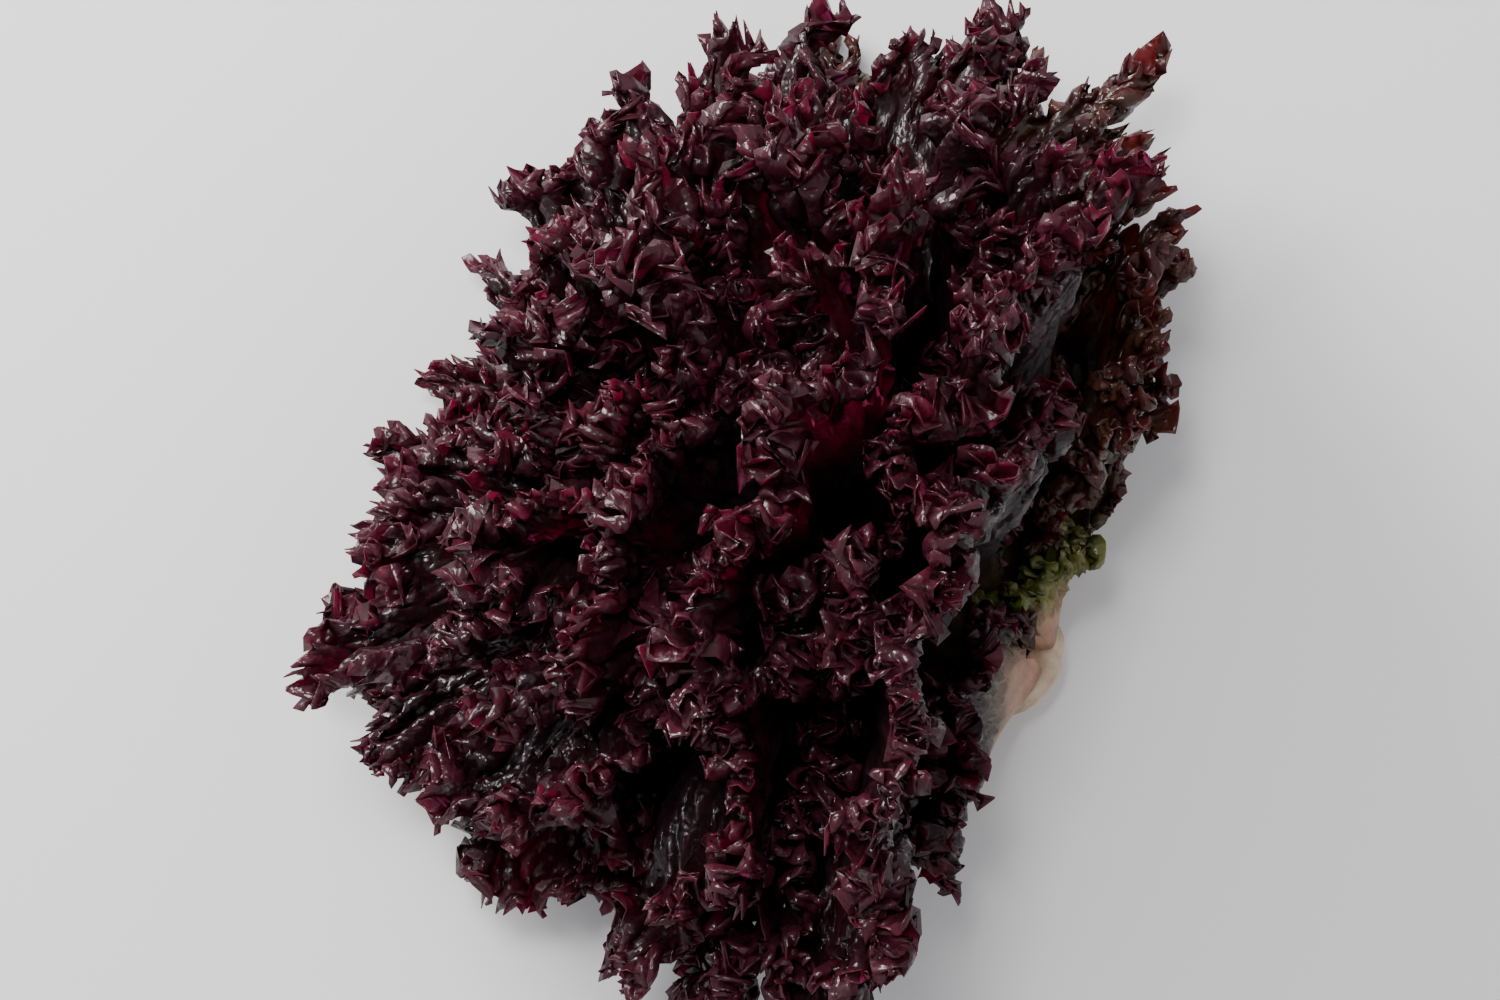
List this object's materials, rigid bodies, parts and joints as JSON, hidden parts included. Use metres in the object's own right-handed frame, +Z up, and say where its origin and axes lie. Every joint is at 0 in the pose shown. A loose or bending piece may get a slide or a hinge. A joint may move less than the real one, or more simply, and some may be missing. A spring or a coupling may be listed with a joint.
{
  "type": "lollo rosso lettuce",
  "caption": "Picked head of lollo rosso lettuce lying on its side: nested fans of red leaves with waved, toothed margins round a short pale cut stem.",
  "frame": {"origin": "on the surface the head lies on, under the middle of its outline", "axes": "+Z up from the surface, +Y level from the cut stem towards the crown, +X level across the head along its longest side"},
  "size_m": [0.2726, 0.1922, 0.162],
  "materials": {
    "leaf": "waxy wine-red lettuce leaf, paler and greener towards its thick cream rib",
    "stem": "moist cream-coloured cut stem"
  },
  "bodies": {
    "root": {"leaf_01": "leaf", "leaf_02": "leaf", "leaf_03": "leaf", "leaf_04": "leaf", "leaf_05": "leaf", "leaf_06": "leaf", "leaf_07": "leaf", "leaf_08": "leaf", "leaf_09": "leaf", "leaf_10": "leaf", "leaf_11": "leaf", "leaf_12": "leaf", "leaf_13": "leaf", "leaf_14": "leaf", "leaf_15": "leaf", "leaf_16": "leaf", "leaf_17": "leaf", "leaf_18": "leaf", "leaf_19": "leaf", "leaf_20": "leaf", "leaf_21": "leaf", "leaf_22": "leaf", "leaf_23": "leaf", "leaf_24": "leaf", "leaf_25": "leaf", "leaf_26": "leaf", "leaf_27": "leaf", "leaf_28": "leaf", "leaf_29": "leaf", "leaf_30": "leaf", "stem": "stem"}
  },
  "joints": []
}
